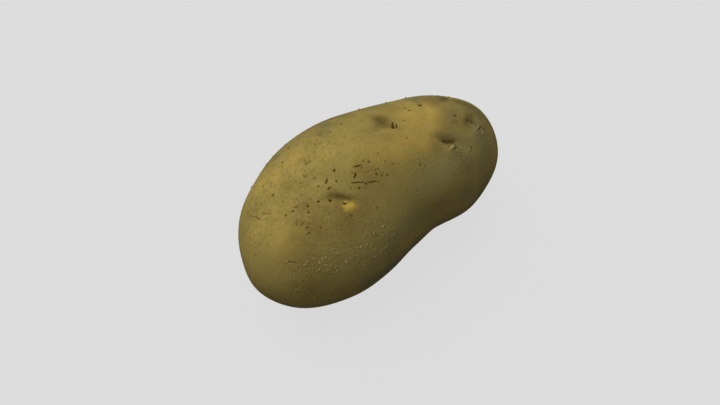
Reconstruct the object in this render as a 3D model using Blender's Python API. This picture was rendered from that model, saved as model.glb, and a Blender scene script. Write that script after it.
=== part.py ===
"""A whole raw potato, grown in one piece: a long tuber with a slight bend.

Run it with: blender --background --python part.py

Metres, +Z up. +X points along the potato, from the end that hung on its stem
to the rose end, where the eyes crowd together. The hollow side of the bend
faces -Y. The potato lies on the flattest part of its underside, on z = 0.
"""

import math

import bmesh
import bpy
import numpy as np
from mathutils import Vector, noise

MM = 0.001

# The body. The bend, the thickness and the sag all follow these stations.
HALF_LENGTH = 54.5
# share of the half length | half width | half height | bow to +Y | lift | sag
STATIONS = (
    (-1.00, 30.0, 27.0, -2.0, -0.5, 0.0),
    (-0.75, 31.5, 27.5, -0.5, -0.5, 0.0),
    (-0.50, 31.5, 27.0, 1.0, 0.0, 0.0),
    (-0.25, 30.0, 26.5, 2.5, 0.5, 0.0),
    (0.00, 27.5, 25.5, 3.0, 1.0, 0.8),
    (0.25, 26.5, 24.5, 1.5, 1.0, 1.8),
    (0.50, 28.5, 25.0, -1.5, 0.5, 1.8),
    (0.75, 30.0, 26.5, -2.5, 0.5, 1.0),
    (1.00, 30.0, 27.0, -4.0, 1.5, 0.0),
)

# Broad, shallow lumps all over the body.
LUMP_SPACING = 17.0
LUMP_HEIGHT = 0.35

# Swellings and flats that make the outline uneven: share, angle, spread, height.
SWELLS = (
    (0.90, 140.0, 8.0, -0.8),
    (0.90, 90.0, 6.0, 0.3),
    (0.65, 190.0, 8.0, -0.5),
    (0.25, 210.0, 8.0, -0.7),
    (-0.60, 210.0, 8.0, -0.3),
    (-0.85, 220.0, 7.0, 0.3),
    (-0.95, -15.0, 8.0, -0.6),
    (-0.70, 25.0, 8.0, 0.6),
    (0.00, 45.0, 12.0, 0.4),
)

# Where a spot lies: its station share, then the angle around the body, with
# 0 degrees at +Y, 90 on top and 180 at -Y.
# share | angle | facing | width | depth of the hollow | rise of the buds | slant
# Facing turns the eye in the skin: at 0 its buds sit towards +X of the hollow,
# at 90 towards a greater angle around the body. Slant leans the hollow's left
# end, seen from its buds, away from them.
EYES = (
    (-0.43, 119.0, 90.0, 8.0, 1.3, 0.6, 1.0),
    (0.18, 93.0, 65.0, 9.5, 1.5, 0.3, 0.0),
    (0.43, 127.0, 90.0, 9.0, 1.8, 0.6, 0.6),
    (0.70, 122.0, 75.0, 8.0, 1.2, 0.5, 0.0),
    (0.73, 83.0, 75.0, 6.5, 0.9, 0.3, 0.0),
    (-0.74, -12.0, 20.0, 7.0, 0.9, 0.3, 0.2),
    (-0.16, 14.0, 25.0, 8.0, 1.3, 0.5, -0.3),
    (0.28, -34.0, 10.0, 8.5, 1.5, 0.5, 0.3),
    (0.60, 22.0, 15.0, 8.0, 1.3, 0.4, 0.0),
    (-0.66, 246.0, 15.0, 7.5, 1.0, 0.4, -0.2),
    (0.16, 231.0, 20.0, 8.5, 1.4, 0.5, 0.4),
    (0.66, 262.0, 10.0, 8.0, 1.4, 0.5, 0.0),
    (0.90, 205.0, 5.0, 6.5, 1.0, 0.5, 0.2),
    (0.93, -25.0, 5.0, 6.5, 1.0, 0.5, -0.2),
)

# The round scar where the stem broke off, low at the back of the -X end.
SCAR_PLACE = (-0.90, -65.0)
SCAR_RADIUS = 3.2
SCAR_DEPTH = 1.3
SCAR_STUB = 0.7

# The flat that the potato lies on.
FLAT_DEPTH = 1.2
FLAT_SOFT_EDGE = 2.0

BALL_SUBDIVISIONS = 5
# Each round of finer faces covers this many millimetres around an eye.
FINE_REACHES = (6.5, 4.0)

SKIN_COLOUR = (0.32, 0.235, 0.07, 1.0)
SKIN_ROUGHNESS = 0.55


def clear_scene():
    for obj in list(bpy.data.objects):
        bpy.data.objects.remove(obj)


def through_stations(column, share):
    """The smooth curve through one column of the stations, read at each share."""
    knots = [station[0] for station in STATIONS]
    values = [station[column] for station in STATIONS]
    values = [2 * values[0] - values[1], *values, 2 * values[-1] - values[-2]]
    values = np.array(values)
    place = (share - knots[0]) / (knots[1] - knots[0])
    place = np.clip(place, 0, len(knots) - 1.001)
    first = place.astype(int)
    part = place - first
    before, start, end, after = (values[first + step] for step in range(4))
    bend = 2 * before - 5 * start + 4 * end - after
    twist = 3 * start - before - 3 * end + after
    return start + 0.5 * part * (end - before + part * (bend + part * twist))


def on_body(ball):
    """Where points of a unit ball come to lie on the smooth body."""
    share, side, up = ball.T
    width, height, bow, lift, sag = (through_stations(k, share) for k in range(1, 6))
    under = np.minimum(up, 0)
    x = HALF_LENGTH * share
    y = bow + width * side
    z = lift + height * up - sag * under**2
    return np.stack([x, y, z], axis=1)


def ball_point(share, degrees):
    ring = math.sqrt(1 - share**2)
    angle = math.radians(degrees)
    return np.array([[share, ring * math.cos(angle), ring * math.sin(angle)]])


def spot_axes(share, degrees, facing=0.0):
    """A spot's centre on the body, and its axes: the way it faces, across, out."""
    step = 0.01
    ends = (
        (share - step, degrees),
        (share + step, degrees),
        (share, degrees - 1),
        (share, degrees + 1),
    )
    back, front, low, high = (on_body(ball_point(*end))[0] for end in ends)
    along = (front - back) / np.linalg.norm(front - back)
    out = np.cross(high - low, along)
    out /= np.linalg.norm(out)
    around = np.cross(along, out)
    turn = math.radians(facing)
    faces = math.cos(turn) * along + math.sin(turn) * around
    return on_body(ball_point(share, degrees))[0], faces, np.cross(out, faces), out


def make_finer(bm, centres, reach):
    """Splits the edges near the centres, and puts the new points on the ball."""
    edges = list(bm.edges)
    middles = np.array([(e.verts[0].co + e.verts[1].co).normalized() for e in edges])
    middles = on_body(middles)
    near = np.zeros(len(edges), bool)
    for centre in centres:
        near |= np.linalg.norm(middles - centre, axis=1) < reach
    chosen = [edge for edge, is_near in zip(edges, near) if is_near]
    bmesh.ops.subdivide_edges(bm, edges=chosen, cuts=1)
    bmesh.ops.triangulate(bm, faces=bm.faces)
    for vert in bm.verts:
        vert.co.normalize()


def unit_ball():
    bm = bmesh.new()
    bmesh.ops.create_icosphere(bm, subdivisions=BALL_SUBDIVISIONS, radius=1)
    spots = [eye[:2] for eye in EYES] + [SCAR_PLACE]
    centres = [on_body(ball_point(*spot))[0] for spot in spots]
    for reach in FINE_REACHES:
        make_finer(bm, centres, reach)
    mesh = bpy.data.meshes.new("potato")
    bm.to_mesh(mesh)
    bm.free()
    return mesh


def hill(*distances):
    """A smooth hill, 1 high in its middle, from distances counted in its radii."""
    return np.exp(-sum(distance**2 for distance in distances))


def eye_relief(points, eye):
    """The hollow of an eye, the brow that shades it, and the swelling of its buds."""
    share, degrees, facing, width, depth, rise, slant = eye
    centre, *axes = spot_axes(share, degrees, facing)
    ahead, across, out = ((points - centre) @ axis / width for axis in axes)
    lean = ahead - slant * across
    brow_line = lean + 0.52 - 0.45 * across**2
    hollow = hill((lean + 0.18) / 0.30, across / 0.55, out)
    brow = hill(brow_line / 0.16, across / 0.50, out)
    buds = hill((ahead - 0.24) / 0.22, across / 0.26, out)
    return rise * buds + 0.16 * depth * brow - depth * hollow


def scar_relief(points):
    centre = spot_axes(*SCAR_PLACE)[0]
    away = np.linalg.norm(points - centre, axis=1) / SCAR_RADIUS
    rim = hill((away - 1.3) / 0.45)
    return SCAR_STUB * hill(away / 0.4) + 0.25 * rim - SCAR_DEPTH * hill(away)


def lumps(points):
    """Broad lumps, from Blender's own noise."""
    spots = [Vector(point) / LUMP_SPACING for point in points]
    return LUMP_HEIGHT * np.array([noise.noise(spot) for spot in spots])


def swells(points):
    """The broad swellings and flats, as smooth hills and hollows."""
    relief = np.zeros(len(points))
    for share, degrees, spread, height in SWELLS:
        centre = on_body(ball_point(share, degrees))[0]
        relief += height * hill(np.linalg.norm(points - centre, axis=1) / spread)
    return relief


def rest_on_flat(points):
    """Wears the underside to a flat at z = 0, and centres the potato over it."""
    height = points[:, 2] - points[:, 2].min() - FLAT_DEPTH
    edge = height**2 * (2 * FLAT_SOFT_EDGE - height) / FLAT_SOFT_EDGE**2
    points[:, 2] = np.where(height < FLAT_SOFT_EDGE, edge, height)
    points[height < 0, 2] = 0
    middle = (points.min(axis=0) + points.max(axis=0)) / 2
    points[:, :2] -= middle[:2]


def coordinates(vectors, kind):
    flat = np.empty(3 * len(vectors))
    vectors.foreach_get(kind, flat)
    return flat.reshape(-1, 3)


def shape_body(mesh):
    points = on_body(coordinates(mesh.vertices, "co"))
    mesh.vertices.foreach_set("co", points.ravel())
    mesh.update()
    normals = coordinates(mesh.vertex_normals, "vector")
    relief = lumps(points) + swells(points) + scar_relief(points)
    for eye in EYES:
        relief += eye_relief(points, eye)
    points += normals * relief[:, None]
    rest_on_flat(points)
    mesh.vertices.foreach_set("co", (points * MM).ravel())
    mesh.update()


def skin_material():
    material = bpy.data.materials.new("potato_skin")
    material.use_nodes = True
    shader = material.node_tree.nodes["Principled BSDF"]
    shader.inputs["Base Color"].default_value = SKIN_COLOUR
    shader.inputs["Roughness"].default_value = SKIN_ROUGHNESS
    shader.inputs["Metallic"].default_value = 0.0
    return material


def make_potato():
    mesh = unit_ball()
    shape_body(mesh)
    mesh.shade_smooth()
    mesh.materials.append(skin_material())
    bpy.context.scene.collection.objects.link(bpy.data.objects.new("potato", mesh))


clear_scene()
make_potato()
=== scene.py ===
import math

import bmesh
import bpy
import numpy as np
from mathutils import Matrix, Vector, geometry, noise
from mathutils.bvhtree import BVHTree


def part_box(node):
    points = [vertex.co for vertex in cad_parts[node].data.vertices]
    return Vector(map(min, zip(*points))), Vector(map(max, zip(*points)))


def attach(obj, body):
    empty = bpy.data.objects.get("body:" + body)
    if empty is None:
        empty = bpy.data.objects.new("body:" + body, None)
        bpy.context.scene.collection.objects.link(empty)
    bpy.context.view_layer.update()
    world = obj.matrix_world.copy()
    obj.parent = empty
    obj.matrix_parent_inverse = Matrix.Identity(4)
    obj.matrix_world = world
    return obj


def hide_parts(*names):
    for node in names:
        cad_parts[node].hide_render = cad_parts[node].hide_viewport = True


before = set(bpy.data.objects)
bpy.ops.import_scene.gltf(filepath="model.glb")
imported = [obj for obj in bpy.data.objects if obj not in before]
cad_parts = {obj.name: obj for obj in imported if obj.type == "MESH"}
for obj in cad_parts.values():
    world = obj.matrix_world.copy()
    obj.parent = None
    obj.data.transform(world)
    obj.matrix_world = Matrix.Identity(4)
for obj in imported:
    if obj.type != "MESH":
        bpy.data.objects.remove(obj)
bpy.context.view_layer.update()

# The camera
# A short telephoto on a stand, looking down at 45 degrees on the stem end and
# on the hollow side of the potato's bend.
PHOTO_WIDTH, PHOTO_HEIGHT = 720, 405
MM = 0.001
AZIMUTH, ELEVATION = math.radians(-45), math.radians(45)
DISTANCE = 448 * MM
TARGET = Vector((-3.95, -1.95, 22.6)) * MM
LENS, SENSOR = 65, 36

toward_camera = Vector(
    (
        math.sin(AZIMUTH) * math.cos(ELEVATION),
        -math.cos(AZIMUTH) * math.cos(ELEVATION),
        math.sin(ELEVATION),
    )
)
camera_data = bpy.data.cameras.new("camera")
camera_data.lens = LENS
camera_data.sensor_width = SENSOR
camera = bpy.data.objects.new("camera", camera_data)
bpy.context.scene.collection.objects.link(camera)
camera.location = TARGET + DISTANCE * toward_camera
camera.rotation_euler = (-toward_camera).to_track_quat("-Z", "Y").to_euler()
bpy.context.scene.camera = camera
bpy.context.view_layer.update()


def ray_through(pixel):
    """The direction in which the camera sees a pixel of the 720 x 405 photo."""
    step = SENSOR / LENS / PHOTO_WIDTH
    right = (pixel[0] - PHOTO_WIDTH / 2) * step
    up = (PHOTO_HEIGHT / 2 - pixel[1]) * step
    return camera.matrix_world.to_3x3() @ Vector((right, up, -1))


# The tuber
# One solid body of flesh that swelled underground from the tip of a stem. It
# is bent, a little lumpy, and lies on the flattest part of its underside.
HALF_LENGTH = 54.5
# share of the half length | half width | half height | bow to +Y | lift | sag
STATIONS = (
    (-1.00, 30.0, 27.0, -2.0, -0.5, 0.0),
    (-0.75, 31.5, 27.5, -0.5, -0.5, 0.0),
    (-0.50, 31.5, 27.0, 1.0, 0.0, 0.0),
    (-0.25, 30.0, 26.5, 2.5, 0.5, 0.0),
    (0.00, 27.5, 25.5, 3.0, 1.0, 0.8),
    (0.25, 26.5, 24.5, 1.5, 1.0, 1.8),
    (0.50, 28.5, 25.0, -1.5, 0.5, 1.8),
    (0.75, 30.0, 26.5, -2.5, 0.5, 1.0),
    (1.00, 30.0, 27.0, -4.0, 1.5, 0.0),
)
LUMP_SPACING = 17.0
LUMP_HEIGHT = 0.35
# Swellings and flats of the outline: share, angle, spread, height.
SWELLS = (
    (0.90, 140.0, 8.0, -0.8),
    (0.90, 90.0, 6.0, 0.3),
    (0.65, 190.0, 8.0, -0.5),
    (0.25, 210.0, 8.0, -0.7),
    (-0.60, 210.0, 8.0, -0.3),
    (-0.85, 220.0, 7.0, 0.3),
    (-0.95, -15.0, 8.0, -0.6),
    (-0.70, 25.0, 8.0, 0.6),
    (0.00, 45.0, 12.0, 0.4),
)
FLAT_DEPTH = 1.2
FLAT_SOFT_EDGE = 2.0
BALL_SUBDIVISIONS = 6


def through_stations(column, share):
    """The smooth curve through one column of the stations, read at each share."""
    knots = [station[0] for station in STATIONS]
    values = [station[column] for station in STATIONS]
    values = [2 * values[0] - values[1], *values, 2 * values[-1] - values[-2]]
    values = np.array(values)
    place = (share - knots[0]) / (knots[1] - knots[0])
    place = np.clip(place, 0, len(knots) - 1.001)
    first = place.astype(int)
    part = place - first
    before, start, end, after = (values[first + step] for step in range(4))
    bend = 2 * before - 5 * start + 4 * end - after
    twist = 3 * start - before - 3 * end + after
    return start + 0.5 * part * (end - before + part * (bend + part * twist))


def on_body(ball):
    """Where points of a unit ball come to lie on the smooth body."""
    share, side, up = ball.T
    width, height, bow, lift, sag = (through_stations(k, share) for k in range(1, 6))
    under = np.minimum(up, 0)
    x = HALF_LENGTH * share
    y = bow + width * side
    z = lift + height * up - sag * under**2
    return np.stack([x, y, z], axis=1)


def ball_point(share, degrees):
    """A point of the unit ball: its share of the length, its angle around it."""
    ring = math.sqrt(1 - share**2)
    angle = math.radians(degrees)
    return np.array([[share, ring * math.cos(angle), ring * math.sin(angle)]])


def hill(*distances):
    """A smooth hill, 1 high in its middle, from distances counted in its radii."""
    return np.exp(-sum(distance**2 for distance in distances))


def coordinates(vectors, kind):
    flat = np.empty(3 * len(vectors))
    vectors.foreach_get(kind, flat)
    return flat.reshape(-1, 3)


def lumps(points):
    """Broad lumps, from Blender's own noise."""
    spots = [Vector(point) / LUMP_SPACING for point in points]
    return LUMP_HEIGHT * np.array([noise.noise(spot) for spot in spots])


def swells(points):
    """The broad swellings and flats, as smooth hills and hollows."""
    relief = np.zeros(len(points))
    for share, degrees, spread, height in SWELLS:
        centre = on_body(ball_point(share, degrees))[0]
        relief += height * hill(np.linalg.norm(points - centre, axis=1) / spread)
    return relief


# The eyes
# Each eye is a hollow under a brow, the scar of a scale leaf, and holds a few
# sleeping buds. The skin runs on over all of it.
# share | angle | facing | width | depth of the hollow | rise of the buds | slant
EYES = (
    (-0.43, 119.0, 90.0, 8.0, 1.3, 0.6, 1.0),
    (0.18, 93.0, 65.0, 9.5, 1.5, 0.3, 0.0),
    (0.43, 127.0, 90.0, 9.0, 1.8, 0.6, 0.6),
    (0.70, 122.0, 75.0, 8.0, 1.2, 0.5, 0.0),
    (0.73, 83.0, 75.0, 6.5, 0.9, 0.3, 0.0),
    (-0.74, -12.0, 20.0, 7.0, 0.9, 0.3, 0.2),
    (-0.16, 14.0, 25.0, 8.0, 1.3, 0.5, -0.3),
    (0.28, -34.0, 10.0, 8.5, 1.5, 0.5, 0.3),
    (0.60, 22.0, 15.0, 8.0, 1.3, 0.4, 0.0),
    (-0.66, 246.0, 15.0, 7.5, 1.0, 0.4, -0.2),
    (0.16, 231.0, 20.0, 8.5, 1.4, 0.5, 0.4),
    (0.66, 262.0, 10.0, 8.0, 1.4, 0.5, 0.0),
    (0.90, 205.0, 5.0, 6.5, 1.0, 0.5, 0.2),
    (0.93, -25.0, 5.0, 6.5, 1.0, 0.5, -0.2),
)
# The photo shows the first five.
EYES_SEEN = 5
SCAR_PLACE = (-0.90, -65.0)
SCAR_RADIUS = 3.2
SCAR_DEPTH = 1.3
SCAR_STUB = 0.7


def spot_axes(share, degrees, facing=0.0):
    """A spot's centre on the body, and its axes: the way it faces, across, out."""
    step = 0.01
    ends = (
        (share - step, degrees),
        (share + step, degrees),
        (share, degrees - 1),
        (share, degrees + 1),
    )
    back, front, low, high = (on_body(ball_point(*end))[0] for end in ends)
    along = (front - back) / np.linalg.norm(front - back)
    out = np.cross(high - low, along)
    out /= np.linalg.norm(out)
    around = np.cross(along, out)
    turn = math.radians(facing)
    faces = math.cos(turn) * along + math.sin(turn) * around
    return on_body(ball_point(share, degrees))[0], faces, np.cross(out, faces), out


def eye_relief(points, eye):
    """The hollow of an eye, the brow that shades it, and the swelling of its buds."""
    share, degrees, facing, width, depth, rise, slant = eye
    centre, *axes = spot_axes(share, degrees, facing)
    ahead, across, out = ((points - centre) @ axis / width for axis in axes)
    lean = ahead - slant * across
    brow_line = lean + 0.52 - 0.45 * across**2
    hollow = hill((lean + 0.18) / 0.30, across / 0.55, out)
    brow = hill(brow_line / 0.16, across / 0.50, out)
    buds = hill((ahead - 0.24) / 0.22, across / 0.26, out)
    return rise * buds + 0.16 * depth * brow - depth * hollow


def scar_relief(points):
    centre = spot_axes(*SCAR_PLACE)[0]
    away = np.linalg.norm(points - centre, axis=1) / SCAR_RADIUS
    rim = hill((away - 1.3) / 0.45)
    return SCAR_STUB * hill(away / 0.4) + 0.25 * rim - SCAR_DEPTH * hill(away)


def ball_mesh(name):
    bm = bmesh.new()
    bmesh.ops.create_icosphere(bm, subdivisions=BALL_SUBDIVISIONS, radius=1)
    mesh = bpy.data.meshes.new(name)
    bm.to_mesh(mesh)
    bm.free()
    return mesh


def place_on_frame(points, lowest):
    """Wears the underside to a flat at z = 0, and centres the potato over it."""
    height = points[:, 2] - lowest - FLAT_DEPTH
    edge = height**2 * (2 * FLAT_SOFT_EDGE - height) / FLAT_SOFT_EDGE**2
    points[:, 2] = np.where(height < FLAT_SOFT_EDGE, edge, height)
    points[height < 0, 2] = 0
    return points


def main_form(mesh, ball):
    """The body's points, the smooth body's points and normals, from ball points."""
    smooth = on_body(ball)
    mesh.vertices.foreach_set("co", smooth.ravel())
    mesh.update()
    normals = coordinates(mesh.vertex_normals, "vector")
    relief = lumps(smooth) + swells(smooth) + scar_relief(smooth)
    for eye in EYES:
        relief += eye_relief(smooth, eye)
    return smooth, normals, smooth + normals * relief[:, None]


# Marks in the skin
# Pores, dry cracks, warts and scratches are all corky skin, grown into the
# surface. Each is a path on the ball that sinks, lifts and tints the skin. Other
# paths of the same kind paint shade and a sheen onto the skin.
MIDDLE_PIXEL = Vector((361, 196))
# About how many millimetres the ball's radius is along, across and up the body.
BALL_SIZE = np.array((HALF_LENGTH, 29.0, 26.0))
# The pixel steps in which a ray moves until it meets the potato, or misses it.
INWARD_STEP = 0.5
OUTWARD_STEP = 0.25
sketch = ball_mesh("sketch")
sketch_ball = coordinates(sketch.vertices, "co")
_, _, sketch_form = main_form(sketch, sketch_ball)
lowest_point = sketch_form[:, 2].min()
middle = (sketch_form.min(axis=0) + sketch_form.max(axis=0)) / 2 * (1, 1, 0)
sketch_form = place_on_frame(sketch_form, lowest_point) - middle
corners = [tuple(face.vertices) for face in sketch.polygons]
sketch_tree = BVHTree.FromPolygons([Vector(p) * MM for p in sketch_form], corners)


def seen_at(pixel):
    """The ball point that the camera sees at a pixel, or just inside the outline."""
    pixel = Vector(pixel)
    face = None
    while face is None:
        hit, _, face, _ = sketch_tree.ray_cast(camera.location, ray_through(pixel))
        pixel += (MIDDLE_PIXEL - pixel).normalized() * INWARD_STEP
    places = [Vector(sketch_form[k]) * MM for k in corners[face]]
    balls = [Vector(sketch_ball[k]) for k in corners[face]]
    return np.array(geometry.barycentric_transform(hit, *places, *balls).normalized())


def rim_at(pixel):
    """The ball point on the outline, straight out from a pixel inside it."""
    pixel = Vector(pixel)
    outward = (pixel - MIDDLE_PIXEL).normalized() * OUTWARD_STEP
    while sketch_tree.ray_cast(camera.location, ray_through(pixel))[0]:
        pixel += outward
    return seen_at(pixel)


marks = []
random = np.random.default_rng(7)
# How far the ends of a patch stray, in radii of the patch.
PATCH_BEND = 0.5
# How far a speck's strokes miss its middle, in millimetres, and half their length,
# in sizes of the speck.
SPECK_SCATTER = 0.08
SPECK_STROKE = 0.45
# A pore's depth and the radius of its stain, in sizes of the pore, and the stain's
# share of its darkness.
PORE_DEPTH = 0.25
STAIN_RADIUS = 2.3
STAIN_SHARE = 0.16
# The length of a crack's short pieces and how far they miss its line, in
# millimetres, and the largest share of the crack's width that a piece can have.
CRACK_STEP = 0.55
CRACK_WANDER = 0.07
CRACK_MOST = 1.15


def mark(path, radius, lift=0.0, **tints):
    """Lifts or sinks the skin along a path of ball points, and tints it."""
    balls = np.array(path)
    balls /= np.linalg.norm(balls, axis=1, keepdims=True)
    marks.append((on_body(balls), radius, lift, tints))


def mark_seen(pixels, radius, lift=0.0, **tints):
    mark([seen_at(pixel) for pixel in pixels], radius, lift, **tints)


def near_by(ball, spread):
    """A random ball point, about that many millimetres away."""
    return ball + random.normal(size=3) * spread / BALL_SIZE


def patch(ball, radius, **tints):
    """An uneven patch of tint: a bent stroke through its middle."""
    ends = near_by(ball, PATCH_BEND * radius), near_by(ball, PATCH_BEND * radius)
    mark((ends[0], ball, ends[1]), radius, 0.0, **tints)


def speck(ball, size, lift, **tints):
    """A rough spot: two strokes that cross its middle at random."""
    for _ in range(2):
        middle_of_stroke = near_by(ball, SPECK_SCATTER)
        half_stroke = near_by(np.zeros(3), SPECK_STROKE * size)
        path = (middle_of_stroke - half_stroke, middle_of_stroke + half_stroke)
        mark(path, size, lift, **tints)


def pore(ball, size, darkness):
    """A sunken brown speck, with a faint stain around it."""
    speck(ball, size, -PORE_DEPTH * size, dark=darkness)
    mark((ball,), STAIN_RADIUS * size, dark=STAIN_SHARE * darkness)


def crack(path, width, depth, least=0.4, **tints):
    """A dry crack through some ball points, of uneven width and darkness."""
    for start, end in zip(path[:-1], path[1:]):
        length = math.dist(*on_body(np.array((start, end))))
        steps = max(2, round(length / CRACK_STEP))
        straight = np.linspace(start, end, steps + 1)
        points = [near_by(point, CRACK_WANDER) for point in straight]
        for first, second in zip(points[:-1], points[1:]):
            part = random.uniform(least, CRACK_MOST)
            shares = {name: min(1.0, part * value) for name, value in tints.items()}
            mark((first, second), width * part, depth * part, **shares)


def crack_seen(pixels, width, depth, least=0.4, **tints):
    crack([seen_at(pixel) for pixel in pixels], width, depth, least, **tints)


# Pores, as dark brown specks, nearly all of them under a millimetre wide. The
# strongest ones come with their size and darkness.
BIG_PORES = (
    (334.4, 170.5, 0.34, 0.95), (330.0, 200.1, 0.32, 1.00), (419.8, 105.2, 0.60, 0.90),
    (358.8, 108.8, 0.32, 0.70), (318.5, 186.5, 0.28, 0.75), (329.3, 188.3, 0.28, 0.95),
    (409.5, 110.2, 0.38, 0.75), (404.5, 108.0, 0.36, 0.70), (455.0, 116.0, 0.40, 0.85),
    (307.7, 206.3, 0.28, 0.95), (318.7, 201.3, 0.29, 0.90), (272.8, 195.0, 0.30, 0.90),
    (288.4, 147.7, 0.36, 0.85), (282.2, 162.1, 0.28, 0.85), (359.3, 187.9, 0.34, 0.85),
)
PORES = (
    (336.4, 181.1), (308.6, 212.7), (361.9, 167.2), (363.1, 160.5), (369.4, 161.6), (352.3, 172.5),
    (368.2, 172.3), (375.9, 170.5), (376.7, 174.4), (381.8, 175.5), (387.6, 175.2), (352.5, 182.7),
    (351.3, 187.7), (377.7, 153.2), (263.2, 186.2), (271.1, 183.1), (292.7, 211.4), (286.0, 215.0),
    (304.6, 176.4), (306.3, 163.6), (341.4, 123.8), (420.4, 164.7), (296.3, 206.6), (319.9, 135.0),
    (403.7, 120.7),
)
FAINT_PORES = (
    (314.7, 177.9), (366.6, 204.8), (271.1, 186.1), (282.7, 201.0), (247.5, 213.0), (248.5, 224.0),
    (248.6, 227.5), (308.1, 223.4), (320.9, 227.8), (304.4, 161.3), (300.8, 183.1), (361.8, 120.4),
    (353.8, 115.5), (383.1, 109.0), (379.4, 169.6), (383.5, 173.6), (380.6, 172.6), (364.3, 188.2),
    (303.7, 202.3), (257.1, 210.0), (256.1, 203.9), (255.5, 255.3), (296.5, 223.7), (307.2, 234.2),
    (315.0, 144.5), (309.0, 156.3), (304.6, 171.0), (329.9, 132.1), (353.8, 139.0), (409.3, 160.5),
    (425.3, 166.0), (417.0, 190.2), (377.5, 207.5), (377.5, 236.4), (252.3, 199.3), (272.7, 175.2),
    (288.5, 188.1), (406.6, 137.6), (471.2, 147.6), (472.0, 151.0), (255.6, 242.8), (267.9, 245.4),
    (264.8, 219.1), (471.9, 149.0), (259.6, 245.0), (249.6, 238.0), (398.2, 108.9), (375.8, 130.6),
    (310.0, 232.9), (351.6, 216.0), (384.9, 161.3), (392.2, 163.0), (296.6, 199.3), (301.2, 195.4),
)
RUSTY_PORES = ((309.6, 233.6), (306.5, 228.6), (427.8, 151.3), (320.9, 228.2), (311.6, 230.2))
WARTS = (
    (394.2, 233.8), (375.0, 257.0), (374.2, 233.0), (383.3, 226.6), (384.2, 248.3), (390.5, 250.0),
    (364.2, 264.7), (366.7, 245.8), (357.5, 248.3), (360.8, 246.7), (322.5, 259.2), (325.5, 258.0),
    (331.1, 266.0), (342.6, 267.7), (337.8, 270.8), (319.5, 270.2), (336.6, 253.8), (340.1, 253.4),
    (307.5, 262.0), (311.5, 264.8), (294.3, 279.1), (297.2, 290.0), (299.7, 296.3), (314.1, 297.6),
    (294.0, 294.4), (459.9, 151.9), (317.2, 271.3), (326.0, 265.0), (305.0, 264.8), (320.0, 263.0),
    (386.8, 246.6), (381.0, 251.8), (346.0, 262.0), (313.5, 259.0),
)
# Crumbs that stand up on the outline.
CRUMBS = (
    (358.8, 109.0), (386.3, 102.2), (405.8, 98.0), (479.3, 110.4), (259.8, 290.2),
    (264.6, 163.6), (249.8, 187.0),
)
# Dry cracks, as paths through the photo: the strong ones with their width, then
# the faint ones.
CRACKS = (
    (0.28, ((354.0, 166.6), (357.5, 166.2), (360.6, 165.2))),
    (0.27, ((355.9, 173.2), (355.4, 175.2), (354.6, 177.4))),
    (0.23, ((327.2, 179.0), (326.6, 181.2), (325.4, 183.4))),
    (0.22, ((352.4, 182.7), (356.0, 182.3), (363.6, 182.2))),
    (0.26, ((365.6, 183.6), (367.0, 183.7))),
    (0.17, ((368.4, 182.6), (375.2, 181.3))),
)
FAINT_CRACKS = (
    ((305.0, 161.4), (308.0, 162.6), (312.0, 160.8)),
    ((263.2, 213.8), (271.8, 213.5)),
    ((251.3, 216.5), (256.3, 217.3), (260.0, 219.4)),
    ((301.0, 224.4), (304.6, 222.9)),
    ((305.4, 228.2), (310.6, 226.9)),
    ((308.4, 233.6), (310.6, 232.2)),
    ((371.0, 180.2), (379.6, 182.4)),
)
FAINTEST_CRACK = ((392.4, 163.8), (400.0, 164.4))
# A crease, and how many pixels below it its raised lip runs.
LONG_CREASE = ((285.4, 264.6), (288.0, 262.8), (290.6, 261.9), (293.2, 262.0), (295.8, 262.8))
LIP_BELOW = 1.6
# The smallest and largest size of each kind, and its faintest and strongest tint.
PORE_SIZES, PORE_TINTS = (0.20, 0.28), (0.5, 0.85)
FAINT_PORE_SIZES, FAINT_PORE_TINTS = (0.20, 0.27), (0.3, 0.5)
WART_SIZES, WART_TINTS = (0.17, 0.23), (0.15, 0.55)
WART_HEIGHT = 0.20

for x, y, size, darkness in BIG_PORES:
    pore(seen_at((x, y)), size, darkness)
for pixel in PORES:
    pore(seen_at(pixel), random.uniform(*PORE_SIZES), random.uniform(*PORE_TINTS))
for pixel in FAINT_PORES:
    pore(seen_at(pixel), random.uniform(*FAINT_PORE_SIZES), random.uniform(*FAINT_PORE_TINTS))
for pixel in RUSTY_PORES:
    speck(seen_at(pixel), size=0.30, lift=-0.02, rust=0.4)
for pixel in WARTS:
    size = random.uniform(*WART_SIZES)
    speck(seen_at(pixel), size, WART_HEIGHT, pale=random.uniform(*WART_TINTS))
for pixel in CRUMBS:
    speck(seen_at(pixel), size=0.30, lift=0.15, dark=0.6)
for width, pixels in CRACKS:
    crack_seen(pixels, width, depth=-0.10, least=0.7, dark=1.0)
for pixels in FAINT_CRACKS:
    crack_seen(pixels, width=0.20, depth=-0.06, dark=0.65)
crack_seen(FAINTEST_CRACK, width=0.16, depth=-0.05, dark=0.35)
crack_seen(LONG_CREASE, width=0.20, depth=-0.10, dark=0.6)
lip = [(x, y + LIP_BELOW) for x, y in LONG_CREASE]
crack_seen(lip, width=0.22, depth=0.06, pale=0.25)

# Patches of coarse goose-bumps: the middle, the spread in millimetres, the count.
ROUGH_PATCHES = (
    ((304, 291), 2.8, 26), ((318, 284), 2.4, 8), ((322, 262), 3.4, 20), ((340, 255), 3.0, 8),
    ((378, 246), 3.4, 16), ((352, 262), 3.0, 8), ((372, 172), 3.0, 14), ((420, 168), 2.6, 10),
    ((300, 226), 2.4, 6), ((464, 153), 2.6, 10),
)
GOOSE_BUMP_LIFTS = (-0.06, 0.04, 0.07)
GOOSE_BUMP_SIZES = (0.20, 0.32)
for pixel, spread, count in ROUGH_PATCHES:
    for _ in range(count):
        lift = random.choice(GOOSE_BUMP_LIFTS)
        speck(near_by(seen_at(pixel), spread), random.uniform(*GOOSE_BUMP_SIZES), lift)

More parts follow.
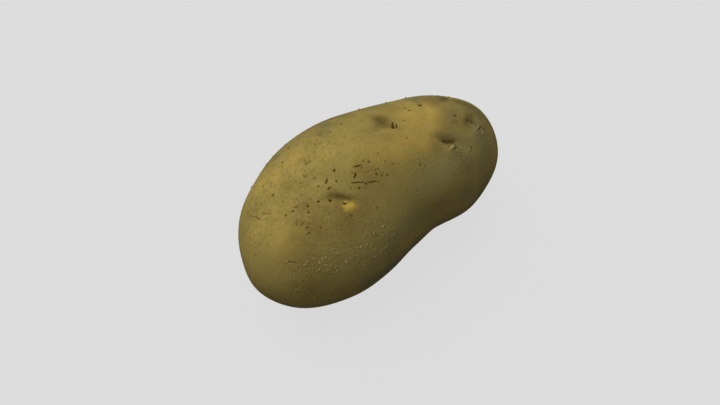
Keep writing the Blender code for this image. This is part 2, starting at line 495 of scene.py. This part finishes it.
# The raised wall around the bud of the middle eye, as a closed path.
BUD_RING = (
    (345.4, 206.6), (347.0, 204.2), (351.0, 203.8), (353.8, 206.4), (351.4, 209.4),
    (347.4, 209.2), (345.4, 206.6),
)
# The eyes that the photo shows: a hollow whose shade is painted dark, then buds or
# their scars. Each mark gives its path in the photo, radius, lift, tint and strength.
EYE_MARKS = (
    # The middle eye: these two dark strokes paint the shade in its hollow, under the brow.
    (((331.0, 193.2), (338.0, 195.0)), 1.15, -0.05, "dark", 0.32),
    (((338.0, 195.0), (346.0, 197.8), (350.0, 199.2)), 0.75, -0.05, "dark", 0.38),
    (BUD_RING, 1.05, 0.22, "gold", 0.78),
    (((348.6, 206.8), (351.0, 207.0)), 1.10, 0.12, "gold", 0.85),
    (((344.2, 205.2), (342.6, 207.6)), 0.90, 0.00, "dark", 0.16),
    (((343.6, 203.2), (344.8, 204.4), (346.4, 203.2)), 0.36, -0.24, "dark", 0.95),
    (((349.4, 203.0),), 0.26, -0.12, "dark", 0.50),
    (((341.8, 204.6),), 0.30, -0.10, "dark", 0.40),
    (((345.0, 201.4), (346.2, 201.6)), 0.32, 0.16, "pale", 0.45),
    (((355.0, 181.2), (359.0, 180.7), (363.0, 181.2)), 0.24, 0.08, "pale", 0.22),
    # The eye up and right of it: a brown and a dark stroke paint the shade in its hollow.
    (((374.0, 118.0), (380.0, 120.5), (387.0, 125.0)), 2.60, 0.00, "brown", 0.50),
    (((378.0, 118.6), (384.0, 122.4), (390.0, 126.0)), 2.20, 0.00, "dark", 0.38),
    (((388.5, 125.6), (397.0, 127.6)), 1.00, 0.00, "dark", 0.26),
    (((392.8, 122.4), (392.0, 127.6)), 0.34, -0.20, "dark", 0.95),
    (((393.2, 125.6), (393.6, 128.2)), 0.46, -0.20, "dark", 0.95),
    (((396.0, 124.0), (396.8, 127.6)), 0.38, -0.20, "dark", 0.80),
    # Painted shadow beside its bud scales.
    (((384.5, 126.4), (388.0, 126.8)), 1.60, 0.00, "dark", 0.32),
    (((382.0, 127.6),), 0.26, -0.05, "dark", 0.50),
    # The eye at the right: the dark and olive strokes paint the shade in its hollow.
    (((443.4, 141.4), (448.0, 142.0), (452.4, 141.8)), 0.95, -0.10, "dark", 0.62),
    (((442.0, 139.6), (456.0, 140.8)), 1.70, 0.00, "olive_and_shade", 0.50),
    (((450.6, 148.8), (453.4, 146.2)), 0.80, 0.80, "beige_and_sheen", 0.50),
    (((449.8, 149.6), (452.6, 145.6)), 0.27, 0.12, "pale", 0.30),
    # Dark lines on either side of the raised bud paint its shadow, over shallow grooves.
    (((454.8, 144.6), (456.2, 146.4), (455.4, 149.0)), 0.30, -0.22, "dark", 0.70),
    (((447.4, 148.6), (449.4, 145.8)), 0.24, -0.12, "dark", 0.35),
    (((456.6, 151.0), (459.0, 150.0)), 0.50, 0.28, "beige_and_sheen", 0.40),
    (((458.8, 146.6), (458.2, 149.2)), 0.24, -0.12, "dark", 0.30),
    (((462.0, 117.6), (468.0, 118.8), (474.5, 122.0)), 1.30, -0.05, "dark", 0.09),
    (((463.5, 119.4), (469.0, 120.6), (475.5, 123.6)), 0.32, -0.06, "dark", 0.30),
    (((472.0, 121.6), (473.6, 122.8)), 0.36, -0.12, "dark", 0.50),
    (((476.1, 127.5),), 0.30, -0.12, "dark", 0.70),
    (((480.9, 126.6), (479.6, 128.2), (477.6, 130.2)), 0.23, -0.20, "dark", 0.75),
    (((478.8, 128.4), (480.4, 130.0)), 0.22, -0.15, "dark", 0.50),
    (((476.9, 129.2),), 0.60, 0.25, "beige_and_sheen", 0.30),
    (((481.6, 128.8),), 0.50, 0.25, "beige_and_sheen", 0.30),
    (((477.4, 128.2), (478.4, 126.8)), 0.25, 0.10, "pale", 0.30),
    (((483.2, 133.0),), 0.85, 0.40, "pale", 0.22),
    (((481.4, 131.8), (481.8, 134.0), (484.4, 135.0)), 0.26, 0.15, "pale", 0.35),
    (((443.0, 98.2), (447.6, 98.9)), 0.45, -0.25, "dark", 0.55),
    (((454.0, 100.7),), 0.32, -0.12, "dark", 0.80),
    (((451.6, 101.2), (452.2, 101.4)), 0.30, 0.15, "pale", 0.30),
    (((454.6, 121.2),), 0.55, 0.30, "olive_and_shade", 0.30),
    (((452.9, 120.2), (453.1, 122.8)), 0.24, -0.10, "dark", 0.45),
    (((456.4, 121.0), (456.2, 123.0)), 0.22, -0.10, "dark", 0.35),
)
for pixels, radius, lift, tone, strength in EYE_MARKS:
    mark_seen(pixels, radius, lift, **{tone: strength})

# Patches of another shade: place in the photo, radius, and strength.
AMBER_PATCHES = (
    ((380, 150), 8.0, 0.5), ((432, 104), 4.5, 0.6), ((402, 132), 5.5, 0.6), ((412, 114), 6.0, 0.9),
)
STRAW_PATCHES = (
    ((280, 170), 4.5, 0.9), ((260, 186), 4.5, 1.0), ((274, 178), 4.0, 1.0), ((292, 169), 3.0, 0.8),
    ((266, 226), 5.0, 0.5), ((282, 236), 7.0, 1.0), ((276, 214), 4.0, 0.8), ((296, 158), 4.5, 0.9),
    ((325, 154), 6.0, 0.7), ((345, 146), 6.0, 0.6), ((330, 186), 3.0, 0.5), ((290, 250), 5.0, 0.7),
    ((350, 160), 4.0, 0.5), ((300, 146), 2.5, 0.6), ((316, 190), 3.0, 0.4), ((266, 246), 4.0, 0.3),
    ((292, 206), 4.0, 0.5), ((250, 194), 4.0, 0.9), ((260, 230), 4.0, 0.9), ((276, 184), 5.0, 0.7),
)
# The small ones along the upper left and left outline paint the shade at the outline.
OLIVE_AND_SHADE_PATCHES = (
    ((478, 112), 6.0, 0.8), ((488, 136), 5.0, 0.2), ((482, 184), 6.0, 0.6), ((466, 170), 7.0, 0.5),
    ((466, 192), 6.0, 0.7), ((326, 125), 3.0, 0.8), ((442, 226), 6.0, 0.7), ((424, 240), 6.0, 0.7),
    ((391, 252), 5.0, 0.6), ((379, 262), 5.0, 0.4), ((462, 140), 5.5, 0.5), ((278, 153), 2.2, 0.8),
    ((286, 146), 2.2, 0.6), ((268, 161), 2.0, 0.7), ((298, 144), 2.2, 0.5), ((320, 134), 2.4, 0.6),
    ((327, 131), 2.0, 0.5), ((296, 196), 2.4, 0.35), ((303, 184), 2.4, 0.3), ((254, 204), 2.2, 0.3),
    ((302, 204), 2.4, 0.3), ((296, 213), 2.6, 0.3), ((248, 215), 2.6, 0.4), ((368, 115), 3.0, 0.4),
    ((340, 118), 3.0, 0.5), ((452, 104), 4.0, 0.5), ((244, 232), 2.6, 0.4), ((305, 136), 2.4, 0.4),
)
BROWN_PATCHES = (
    ((450, 124), 4.0, 0.4), ((437, 146), 4.0, 0.6), ((340, 200), 3.0, 0.4), ((333, 214), 5.0, 0.6),
    ((350, 222), 5.0, 0.7), ((318, 228), 5.0, 0.6), ((362, 206), 4.5, 0.7), ((338, 206), 2.6, 0.7),
    ((341, 224), 4.0, 0.4), ((306, 206), 3.0, 0.5), ((338, 123), 2.6, 0.6), ((392, 110), 4.0, 0.4),
    ((300, 222), 3.5, 0.6), ((372, 184), 6.0, 0.45), ((388, 136), 3.0, 0.4), ((438, 122), 3.0, 0.3),
    ((362, 172), 3.5, 0.4), ((390, 170), 4.0, 0.3), ((301, 238), 5.5, 0.5), ((298, 254), 6.5, 0.5),
    ((312, 290), 8.0, 0.6), ((284, 290), 5.0, 0.2), ((387, 121), 3.5, 0.5), ((470, 118), 4.0, 0.5),
    ((459, 124), 3.5, 0.5), ((340, 292), 5.0, 0.4), ((310, 246), 4.0, 0.4), ((286, 188), 3.0, 0.5),
    ((256, 208), 2.6, 0.5), ((340, 207), 1.8, 0.7),
)
# Longer patches, as paths through the photo.
BANDS = (
    ("amber", ((422, 104), (418, 120), (408, 138), (398, 148)), 6.0, 0.75),
    ("amber", ((430, 110), (430, 126), (424, 144)), 3.5, 0.95),
    ("brown", ((452, 112), (452, 126), (444, 138)), 4.5, 0.5),
    ("brown", ((338, 209), (344, 214), (353, 214)), 2.0, 0.6),
    # Painted sheen: the next four beige bands across the lower right stand for a broad soft
    # reflection.
    ("beige_and_sheen", ((462, 155), (446, 170), (425, 186)), 6.5, 0.8),
    ("beige_and_sheen", ((425, 186), (405, 206), (390, 226)), 5.5, 0.35),
    ("beige_and_sheen", ((388, 230), (368, 252), (346, 264)), 6.0, 0.45),
    ("beige_and_sheen", ((440, 186), (418, 214), (400, 232)), 4.5, 0.35),
    ("beige_and_sheen", ((480, 128), (482, 146)), 4.0, 0.6),
    ("olive_and_shade", ((466, 106), (478, 126), (486, 160), (482, 190)), 6.5, 0.7),
    ("olive_and_shade", ((460, 150), (456, 190)), 6.0, 0.4),
    # Painted shade: an olive band along the lower right outline.
    ("olive_and_shade", ((474, 206), (450, 224), (420, 244), (395, 264), (368, 282)), 5.0, 0.7),
    ("olive_and_shade", ((452, 106), (452, 122)), 4.0, 0.45),
    # Painted shade: an olive band and a dark band where the light fades on the lower right.
    ("olive_and_shade", ((466, 172), (460, 182), (448, 198), (430, 212), (408, 226), (388, 243)), 4.5, 0.4),
    ("dark", ((470, 168), (460, 184), (450, 196), (436, 206), (422, 210)), 5.0, 0.15),
    ("dark", ((330, 280), (352, 276)), 6.0, 0.05),
    # Painted shade along the top outline of the rose end.
    ("olive_and_shade", ((440, 99), (454, 101)), 2.4, 0.6),
    ("pale", ((482, 131), (486, 138)), 1.8, 0.08),
    ("rust", ((314, 222), (320, 232)), 3.0, 0.08),
    # Painted shade along the top outline of the rose end.
    ("dark", ((444, 99), (456, 101), (470, 107)), 2.2, 0.24),
)
UPPER_LEFT_EDGE = (
    (262, 166), (274, 154), (288, 144), (304, 135), (322, 126), (344, 116), (375, 107),
)
# Painted shade along the outline: green-grey patches, with some brown ones, that
# darken the skin over the outline and run on behind it as a green-grey tone: a path
# inside the outline, how many millimetres they reach in front of it, and their strength.
RIM_SHADE_BANDS = (
    (UPPER_LEFT_EDGE, 3.0, 1.0),
    (((240, 232), (242, 216), (246, 200), (254, 180)), 2.0, 0.4),
    (((396, 101), (416, 98), (436, 98), (452, 101), (466, 107)), 6.0, 1.0),
    (((466, 107), (480, 116), (488, 128), (494, 146)), 4.0, 0.7),
    (((240, 250), (246, 270), (262, 288)), 0.0, 0.3),
)
# Where the skin is mottled, and where it is goose-bumped.
MOTTLED_PATCHES = (
    ((285, 175), 16.0, 1.0), ((265, 205), 12.0, 1.0), ((320, 140), 12.0, 0.9),
    ((310, 200), 12.0, 0.9), ((470, 120), 8.0, 0.6), ((370, 170), 8.0, 0.5),
)
BUMPY_PATCHES = (
    ((330, 262), 10.0, 1.0), ((305, 270), 8.0, 0.8), ((375, 232), 9.0, 0.9),
    ((300, 292), 8.0, 1.0), ((345, 240), 8.0, 0.7), ((372, 172), 6.0, 0.6),
    ((462, 154), 6.0, 0.6), ((418, 166), 5.0, 0.7), ((395, 245), 7.0, 0.8),
    ((430, 195), 8.0, 0.5), ((325, 225), 8.0, 0.25), ((360, 262), 8.0, 0.9),
    ((480, 128), 5.0, 0.7), ((340, 290), 8.0, 0.6), ((256, 250), 8.0, 0.4),
)
for patches, tone in (
    (AMBER_PATCHES, "amber"),
    (STRAW_PATCHES, "straw"),
    (OLIVE_AND_SHADE_PATCHES, "olive_and_shade"),
    (BROWN_PATCHES, "brown"),
    (MOTTLED_PATCHES, "mottled"),
    (BUMPY_PATCHES, "bumpy"),
):
    for pixel, radius, strength in patches:
        mark_seen((pixel,), radius, **{tone: strength})
for tone, pixels, radius, strength in BANDS:
    mark_seen(pixels, radius, **{tone: strength})
# Lengths are in millimetres: between the patches, behind the outline at most, and
# how far behind it they start to be weaker.
RIM_SPACING = 1.5
RIM_BEHIND = 11.0
WEAKER_FROM = 3.0
WEAKER_SHARE = 0.5
RIM_SCATTER = 0.8
RIM_RADII = (2.0, 5.0)
RIM_SHARES = (0.35, 0.9)
RIM_SHADE_TONES = ("olive_and_shade", "olive_and_shade", "olive_and_shade", "brown")
one_back = np.array(toward_camera) / BALL_SIZE
for pixels, in_front, strength in RIM_SHADE_BANDS:
    rim = [rim_at(pixel) for pixel in pixels]
    for left, right in zip(rim[:-1], rim[1:]):
        length = math.dist(*on_body(np.array((left, right))))
        for share in random.uniform(0.0, 1.0, 2 + round(length / RIM_SPACING)):
            on_rim = left + share * (right - left)
            behind = random.uniform(-in_front, RIM_BEHIND)
            tone = random.choice(RIM_SHADE_TONES)
            patch_strength = strength * random.uniform(*RIM_SHARES)
            if behind > WEAKER_FROM:
                patch_strength *= WEAKER_SHARE
            patch_middle = near_by(on_rim - behind * one_back, RIM_SCATTER)
            patch(patch_middle, random.uniform(*RIM_RADII), **{tone: patch_strength})

# A spot is hidden where its outward direction has less than this share towards
# the camera.
TURNED_AWAY = 0.05
# The hidden sides get pores and warts in small groups, and cracks, at random: how
# many, how wide a group spreads, and the range of its count, which stays below
# the second number.
PORE_GROUPS, PORE_SPREAD, PORES_IN_GROUP = 30, 3.5, (2, 7)
HIDDEN_PORE_TINTS = (0.3, 1.0)
WART_GROUPS, WART_SPREAD, WARTS_IN_GROUP = 14, 3.0, (2, 6)
HIDDEN_WART_SIZES, HIDDEN_WART_TINTS = (0.18, 0.26), (0.25, 0.6)
HIDDEN_WART_HEIGHT = 0.10
HIDDEN_CRACKS, HIDDEN_CRACK_REACH, HIDDEN_CRACK_WIDTHS = 12, 1.6, (0.20, 0.28)


def hidden_points(count):
    """Random ball points on the sides that the photo doesn't show."""
    found = []
    while len(found) < count:
        ball = random.normal(size=3)
        ball /= np.linalg.norm(ball)
        if Vector(ball / BALL_SIZE).normalized().dot(toward_camera) < TURNED_AWAY:
            found.append(ball)
    return found


for middle_of_group in hidden_points(PORE_GROUPS):
    for _ in range(random.integers(*PORES_IN_GROUP)):
        ball = near_by(middle_of_group, PORE_SPREAD)
        pore(ball, random.uniform(*PORE_SIZES), random.uniform(*HIDDEN_PORE_TINTS))
for middle_of_group in hidden_points(WART_GROUPS):
    for _ in range(random.integers(*WARTS_IN_GROUP)):
        ball = near_by(middle_of_group, WART_SPREAD)
        size = random.uniform(*HIDDEN_WART_SIZES)
        speck(ball, size, HIDDEN_WART_HEIGHT, pale=random.uniform(*HIDDEN_WART_TINTS))
for ball in hidden_points(HIDDEN_CRACKS):
    path = (ball, near_by(ball, HIDDEN_CRACK_REACH))
    crack(path, random.uniform(*HIDDEN_CRACK_WIDTHS), depth=-0.08, dark=0.8)
# Tones of the hidden sides: how many patches, their smallest and widest radius,
# and the strongest tint.
HIDDEN_TONES = (
    ("amber", 8, 3.0, 7.0, 0.8), ("straw", 16, 3.0, 8.0, 0.8), ("olive_and_shade", 18, 3.0, 7.0, 0.5),
    ("brown", 18, 3.0, 7.0, 0.7), ("beige_and_sheen", 8, 4.0, 8.0, 0.7), ("mottled", 22, 8.0, 14.0, 0.9),
    ("bumpy", 22, 5.0, 9.0, 0.9),
)
# The weakest and strongest share of that tint.
HIDDEN_TONE_SHARES = (0.4, 1.0)
for tone, count, smallest, widest, strongest in HIDDEN_TONES:
    for ball in hidden_points(count):
        strength = strongest * random.uniform(*HIDDEN_TONE_SHARES)
        patch(ball, random.uniform(smallest, widest), **{tone: strength})


def on_ball(spot):
    """The ball point of a spot on the body."""
    share = spot[0] / HALF_LENGTH
    width, height, bow, lift, sag = (through_stations(k, share) for k in range(1, 6))
    up = (spot[2] - lift) / height
    up += sag * min(up, 0.0) ** 2 / height
    return np.array((share, (spot[1] - bow) / width, up))


# Places in a hidden eye, in widths of the eye ahead of its middle or to its side.
FOLD_SHADE_AHEAD = -0.22
FOLD_SHADE_SIDES = (-0.3, 0.0, 0.3)
FOLD_SHADE_RADIUS = 0.11
RING_AHEAD = 0.2
RING_LENGTH, RING_WIDTH = 0.13, 0.17
BUDS_AHEAD = 0.22
GOLD_AHEAD = 0.24
# Where the dry ring of a bud starts and how far it runs, in radians.
RING_STARTS, RING_RUNS = (1.6, 2.4), (1.6, 2.6)
RING_POINTS = 4
BUDS = 2
BUD_PORE_SIZES = (0.2, 0.3)


def in_eye(eye, forward, sideways):
    """The ball point so far ahead of an eye's middle and so far to its side."""
    share, degrees, facing, width = eye[:4]
    centre, ahead, across, _ = spot_axes(share, degrees, facing)
    return on_ball(centre + width * (forward * ahead + sideways * across))


def dress_eye(eye):
    """The painted shade in an eye's hollow, and the dry skin around its sleeping buds."""
    width, slant = eye[3], eye[6]
    fold_shade = [in_eye(eye, slant * side + FOLD_SHADE_AHEAD, side) for side in FOLD_SHADE_SIDES]
    # A shallow groove across the hollow, darkened as painted shade.
    mark(fold_shade, radius=FOLD_SHADE_RADIUS * width, lift=-0.05, dark=0.28)
    first_angle = random.uniform(*RING_STARTS)
    ring = []
    for angle in first_angle + np.linspace(0.0, random.uniform(*RING_RUNS), RING_POINTS):
        ahead = RING_AHEAD + RING_LENGTH * math.cos(angle)
        ring.append(in_eye(eye, ahead, RING_WIDTH * math.sin(angle)))
    crack(ring, width=0.24, depth=-0.12, dark=0.6)
    for _ in range(BUDS):
        bud = near_by(in_eye(eye, BUDS_AHEAD, 0.0), spread=0.6)
        pore(bud, random.uniform(*BUD_PORE_SIZES), darkness=0.8)
        speck(near_by(bud, spread=0.5), size=0.26, lift=0.12, pale=0.35)
    middle_of_buds = in_eye(eye, GOLD_AHEAD, 0.0)
    mark((middle_of_buds,), radius=1.5, lift=0.1, gold=random.uniform(0.0, 0.6))


for eye in EYES[EYES_SEEN:]:
    dress_eye(eye)

# The corky disc of the stem scar, and the torn stub in its middle.
mark(ball_point(*SCAR_PLACE), radius=2.2, lift=-0.1, dark=0.4, brown=0.8)
mark(ball_point(*SCAR_PLACE), radius=0.8, lift=0.2, dark=0.6)

# The skin
# A thin corky peel, drawn tight over the flesh and washed clean. Its mesh is
# finest where the marks are, and it carries their tints as point attributes.
TINTS = (
    "dark", "pale", "gold", "rust", "amber", "straw", "olive_and_shade", "brown", "beige_and_sheen", "mottled", "bumpy"
)
# How many of its radii away a mark still shapes and tints the skin.
MARK_REACH = 2.6
# Rounds of finer faces: the widest mark that each is for, how many of its radii
# the round covers, and how many millimetres more.
FINE_ROUNDS = ((2.0, 2.2, 0.9), (1.1, 2.0, 0.6), (0.5, 1.7, 0.35))


def distance_to(path, points):
    """How far each point is from a path, as a line through its points."""
    away = np.linalg.norm(points - path[0], axis=1)
    for start, end in zip(path[:-1], path[1:]):
        line = end - start
        length_squared = max(line @ line, 1e-9)
        share = np.clip((points - start) @ line / length_squared, 0, 1)
        away = np.minimum(away, np.linalg.norm(points - start - share[:, None] * line, axis=1))
    return away


def by_length(points):
    """The order of the points along the potato, and how far along each then is."""
    order = np.argsort(points[:, 0], kind="stable")
    return order, points[order, 0]


def slice_around(path, reach, order, along):
    """Which points lie in the slice of the potato that a path's reach takes in."""
    first, last = np.searchsorted(along, (path[:, 0].min() - reach, path[:, 0].max() + reach))
    return order[first:last]


def near_small_marks(points, widest, reach, margin):
    near = np.zeros(len(points), bool)
    order, along = by_length(points)
    for path, radius, _, _ in marks:
        if radius < widest:
            limit = reach * radius + margin
            chosen = slice_around(path, limit, order, along)
            near[chosen] |= distance_to(path, points[chosen]) < limit
    return near


def make_finer(bm, widest, reach, margin):
    """Splits the edges near small marks, and puts the new points on the ball."""
    edges = list(bm.edges)
    middles = np.array([(e.verts[0].co + e.verts[1].co).normalized() for e in edges])
    near = near_small_marks(on_body(middles), widest, reach, margin)
    chosen = [edge for edge, is_near in zip(edges, near) if is_near]
    bmesh.ops.subdivide_edges(bm, edges=chosen, cuts=1)
    bmesh.ops.triangulate(bm, faces=bm.faces)
    for vert in bm.verts:
        vert.co.normalize()


bm = bmesh.new()
bmesh.ops.create_icosphere(bm, subdivisions=BALL_SUBDIVISIONS, radius=1)
for widest, reach, margin in FINE_ROUNDS:
    make_finer(bm, widest, reach, margin)
skin_mesh = bpy.data.meshes.new("potato_skin")
bm.to_mesh(skin_mesh)
bm.free()

skin_ball = coordinates(skin_mesh.vertices, "co")
smooth_points, skin_normals, skin_form = main_form(skin_mesh, skin_ball)
mark_relief = np.zeros(len(skin_ball))
tints = {name: np.zeros(len(skin_ball)) for name in TINTS}
order, along = by_length(smooth_points)
for path, radius, lift, mark_tints in marks:
    chosen = slice_around(path, MARK_REACH * radius, order, along)
    shape = hill(distance_to(path, smooth_points[chosen]) / radius)
    mark_relief[chosen] += lift * shape
    for name, strength in mark_tints.items():
        tints[name][chosen] = np.maximum(tints[name][chosen], strength * shape)
skin_form = skin_form + skin_normals * mark_relief[:, None]
skin_form = (place_on_frame(skin_form, lowest_point) - middle) * MM
# No crumb or bud stands out of the solid's own box.
low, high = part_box("potato")
skin_form = np.clip(skin_form, low, high)
skin_mesh.vertices.foreach_set("co", skin_form.ravel())
for name in TINTS:
    layer = skin_mesh.attributes.new(name, "FLOAT", "POINT")
    layer.data.foreach_set("value", tints[name])
skin_mesh.shade_smooth()
skin_mesh.update()
skin = bpy.data.objects.new("potato_skin", skin_mesh)
bpy.context.scene.collection.objects.link(skin)


def linear(red, green, blue):
    """A colour as the shader wants it, from its 0 to 255 screen values."""
    shares = (red / 255, green / 255, blue / 255)
    return tuple(((share + 0.055) / 1.055) ** 2.4 for share in shares) + (1.0,)


class Wire:
    """One socket of a node tree, for shader maths written as expressions."""

    def __init__(self, tree, socket=None):
        self.tree = tree
        self.socket = socket

    def node(self, kind, settings=None, inputs=None, output=0):
        """Adds a node: its settings first, then each socket's value or link."""
        made = self.tree.nodes.new("ShaderNode" + kind)
        for name, value in (settings or {}).items():
            setattr(made, name, value)
        for name, value in (inputs or {}).items():
            if isinstance(value, Wire):
                self.tree.links.new(value.socket, made.inputs[name])
            else:
                made.inputs[name].default_value = value
        return Wire(self.tree, made.outputs[output])

    def maths(self, operation, *terms):
        return self.node("Math", {"operation": operation}, dict(enumerate(terms)))

    def __add__(self, other):
        return self.maths("ADD", self, other)

    def __sub__(self, other):
        return self.maths("SUBTRACT", self, other)

    def __rsub__(self, other):
        return self.maths("SUBTRACT", other, self)

    def __mul__(self, other):
        return self.maths("MULTIPLY", self, other)

    __radd__ = __add__
    __rmul__ = __mul__

    def stretch(self, low, high, way="SMOOTHSTEP"):
        """0 up to low, 1 from high on, and smooth or straight between."""
        return self.node("MapRange", {"interpolation_type": way}, {0: self, 1: low, 2: high})

    def blend(self, first, second):
        """From the first colour to the second, by this wire."""
        settings = {"data_type": "RGBA", "blend_type": "MIX", "clamp_factor": True}
        return self.node("Mix", settings, {0: self, 6: first, 7: second}, 2)


skin_material = bpy.data.materials.new("potato_skin")
skin_material.use_nodes = True
nodes = Wire(skin_material.node_tree)
on_skin = nodes.node("TexCoord", output=3)


def speckle(scale, detail=4.0, rough=0.6, offset=0.0):
    """Noise between 0 and 1, with that many cells to the metre."""
    inputs = {"Vector": on_skin, "Scale": scale, "Detail": detail, "Roughness": rough}
    inputs["W"] = offset
    return nodes.node("TexNoise", {"noise_dimensions": "4D"}, inputs)


def tint(name):
    return nodes.node("Attribute", {"attribute_name": name}, output=2)


OCHRE = linear(155, 136, 73)
AMBER = linear(186, 157, 79)
STRAW = linear(175, 151, 78)
# Olive is also the colour of painted shade along the outline, on the lower right and in the eyes'
# hollows.
OLIVE_AND_SHADE = linear(118, 110, 74)
BROWN = linear(130, 108, 57)
# Beige is also the colour of a painted sheen across the lower right.
BEIGE_AND_SHEEN = linear(156, 144, 90)
# Dark is also the colour of painted shade in the eyes' hollows and along the edges.
DARK = linear(67, 49, 0)
CORK = linear(215, 200, 140)
GOLD = linear(208, 176, 76)
RUST = linear(120, 62, 18)
FRECKLE = linear(110, 93, 28)
HAZE = linear(122, 109, 48)
DUST = linear(184, 165, 98)

# Broad tones, each inside its own patches, whose edges wander with two noises.
EDGE_WANDER = 0.8
wander = (speckle(110.0) - 0.5) * EDGE_WANDER
shift = (speckle(140.0, offset=5.0) - 0.5) * EDGE_WANDER
colour = (tint("straw") + shift).stretch(0.05, 0.95, "LINEAR").blend(OCHRE, STRAW)
colour = (tint("amber") + wander).stretch(0.05, 1.00, "LINEAR").blend(colour, AMBER)
# The beige tone also paints a broad sheen.
colour = (tint("beige_and_sheen") + shift).stretch(0.05, 1.00, "LINEAR").blend(colour, BEIGE_AND_SHEEN)
colour = (tint("brown") + wander).stretch(0.10, 1.00, "LINEAR").blend(colour, BROWN)
# The olive tone also paints shade along the outline and in hollows.
colour = (tint("olive_and_shade") + shift).stretch(0.10, 1.00, "LINEAR").blend(colour, OLIVE_AND_SHADE)
# Finer clouds and freckles, faint all over and strong where the skin is mottled.
mottled = tint("mottled")
clouds = speckle(330.0, rough=0.65, offset=2.0).stretch(0.48, 0.72)
colour = (clouds * (mottled * 0.45 + 0.08)).blend(colour, HAZE)
dusty = speckle(260.0, offset=9.0).stretch(0.50, 0.75)
colour = (dusty * (mottled * 0.40 + 0.10)).blend(colour, DUST)
grain = speckle(1300.0, detail=3.0, rough=0.7, offset=4.0)
freckles = speckle(800.0, detail=5.0, rough=0.75, offset=11.0).stretch(0.48, 0.66)
colour = (freckles * (mottled * 0.50 + 0.12)).blend(colour, FRECKLE)
colour = (grain.stretch(0.45, 0.70) * 0.24).blend(colour, FRECKLE)
# The marks, the dark ones on top; the dark tint also carries painted shade.
colour = (tint("rust") * 0.9).blend(colour, RUST)
colour = tint("gold").blend(colour, GOLD)
colour = (tint("pale") * 0.8).blend(colour, CORK)
colour = (tint("dark") * 1.25).blend(colour, DARK)
# The finest grain, too small for the mesh: a fine grit, wrinkles drawn out one way,
# and pimples where the skin is goose-bumped.
GRAIN_DEPTH = 0.5 * MM
WRINKLE_TURN = (0, 0, math.radians(45))
WRINKLE_STRETCH = (0.45, 1, 1)
fine = speckle(2600.0, detail=3.0)
turning = {"Vector": on_skin, "Rotation": WRINKLE_TURN, "Scale": WRINKLE_STRETCH}
turned = nodes.node("Mapping", inputs=turning)
wrinkle_noise = {"Vector": turned, "Scale": 1700.0, "Detail": 3.0, "Roughness": 0.6}
wrinkles = nodes.node("TexNoise", inputs=wrinkle_noise).stretch(0.42, 0.70)
pimples = speckle(1250.0, detail=2.0, rough=0.5, offset=3.0).stretch(0.56, 0.70)
bumpy = tint("bumpy")
height = fine * 0.12 + grain * 0.30 + wrinkles * (bumpy * 0.28 + 0.04) + pimples * bumpy * 0.45
bump = nodes.node("Bump", inputs={"Strength": 1.0, "Distance": GRAIN_DEPTH, "Height": height})
SKIN_ROUGHNESS = 0.7
SKIN_SHEEN = 0.04
shader = skin_material.node_tree.nodes["Principled BSDF"]
skin_material.node_tree.links.new(colour.socket, shader.inputs["Base Color"])
skin_material.node_tree.links.new(bump.socket, shader.inputs["Normal"])
shader.inputs["Roughness"].default_value = SKIN_ROUGHNESS
shader.inputs["Specular IOR Level"].default_value = SKIN_SHEEN
skin_mesh.materials.append(skin_material)
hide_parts("potato")
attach(skin, "root")

# The table and the light
# A wide pale table top with no seam in view. Four wide soft panels stand around
# the potato, the strongest behind it. The table top here lights nothing, so a
# weak fifth light from below stands for what a real one throws back.
bpy.context.scene.view_settings.view_transform = "Standard"
FLOOR_SIZE = 6.0
FLOOR_GREY = (0.06, 0.06, 0.06, 1)
FLOOR_GLOW = 0.67
FLOOR_ROUGHNESS = 0.9
floor_mesh = bpy.data.meshes.new("table_top")
half = FLOOR_SIZE / 2
floor_corners = [(-half, -half, 0), (half, -half, 0), (half, half, 0), (-half, half, 0)]
floor_mesh.from_pydata(floor_corners, [], [(0, 1, 2, 3)])
floor = bpy.data.objects.new("table_top", floor_mesh)
bpy.context.scene.collection.objects.link(floor)
floor_material = bpy.data.materials.new("table_top")
floor_material.use_nodes = True
floor_shader = floor_material.node_tree.nodes["Principled BSDF"]
floor_shader.inputs["Base Color"].default_value = FLOOR_GREY
floor_shader.inputs["Emission Color"].default_value = (1, 1, 1, 1)
floor_shader.inputs["Emission Strength"].default_value = FLOOR_GLOW
floor_shader.inputs["Roughness"].default_value = FLOOR_ROUGHNESS
floor_shader.inputs["Specular IOR Level"].default_value = 0.0
floor_mesh.materials.append(floor_material)
floor.visible_diffuse = False
floor.visible_shadow = False
floor.visible_glossy = False


def add_soft_light(name, azimuth, elevation, power, angle, colour=(1.0, 1.0, 1.0)):
    """A far, wide panel, seen from the potato in that direction and that wide."""
    azimuth, elevation = math.radians(azimuth), math.radians(elevation)
    flat = math.cos(elevation)
    side = Vector((math.sin(azimuth) * flat, -math.cos(azimuth) * flat, math.sin(elevation)))
    data = bpy.data.lights.new(name, "SUN")
    data.energy = power
    data.color = colour
    data.angle = math.radians(angle)
    light = bpy.data.objects.new(name, data)
    bpy.context.scene.collection.objects.link(light)
    light.location = TARGET + side
    light.rotation_euler = side.to_track_quat("Z", "Y").to_euler()


# Each gives its direction and height in degrees, its power, and its width in degrees.
add_soft_light("back_panel", 180, 35, 1.67, 70)
add_soft_light("left_panel", 270, 60, 1.46, 80)
add_soft_light("right_panel", 90, 35, 0.53, 80)
add_soft_light("front_panel", 0, 10, 0.16, 80, (0.95, 1.0, 1.3))
add_soft_light("table_bounce", -30, -30, 0.12, 90, (0.95, 1.0, 1.5))

# The room is pale where the camera sees it, and lights the potato only faintly.
ROOM_SEEN = 0.66
ROOM_LIGHT = 0.04
world = bpy.data.worlds.new("studio")
bpy.context.scene.world = world
world.use_nodes = True
room = Wire(world.node_tree)
background = world.node_tree.nodes["Background"]
background.inputs["Color"].default_value = (1, 1, 1, 1)
is_seen = room.node("LightPath", output=0)
room_strength = is_seen * ROOM_SEEN + ROOM_LIGHT
world.node_tree.links.new(room_strength.socket, background.inputs["Strength"])
